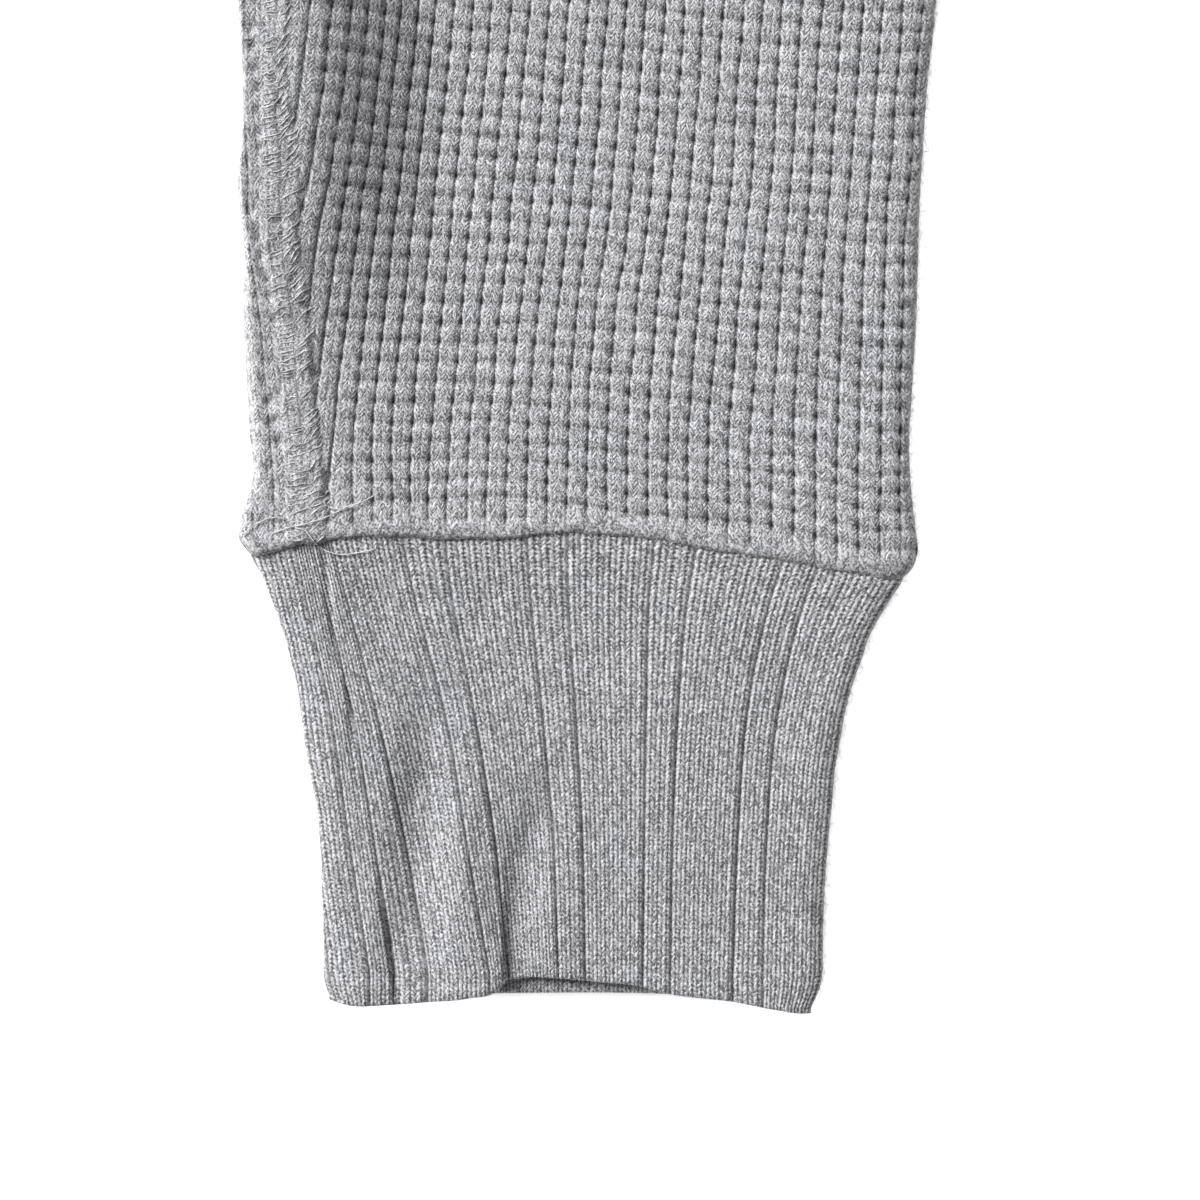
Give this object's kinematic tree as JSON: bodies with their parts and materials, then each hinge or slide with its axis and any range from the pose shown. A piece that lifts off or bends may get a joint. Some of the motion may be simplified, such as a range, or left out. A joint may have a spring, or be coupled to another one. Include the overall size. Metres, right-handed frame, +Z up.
{
  "type": "thermal top",
  "caption": "Long-sleeved crew-neck thermal top in heavy grey waffle knit with ribbed cuffs and neckband, laid flat on its back with the sleeves down.",
  "frame": {"origin": "middle of the underside of the flat-laid top, on the surface it lies on", "axes": "+Y towards the neck, -Y towards the hem, +X towards the wearer's left sleeve, +Z up out of the front"},
  "size_m": [1.1742, 0.6972, 0.0054],
  "materials": {
    "waffle_knit": "heather grey cotton waffle knit, soft and matt",
    "rib_knit": "heather grey cotton rib knit, soft and matt"
  },
  "bodies": {
    "root": {"front": "waffle_knit", "back": "waffle_knit", "sleeve_left": "waffle_knit", "sleeve_right": "waffle_knit", "cuff_left": "rib_knit", "cuff_right": "rib_knit", "neckband": "rib_knit"}
  },
  "joints": []
}
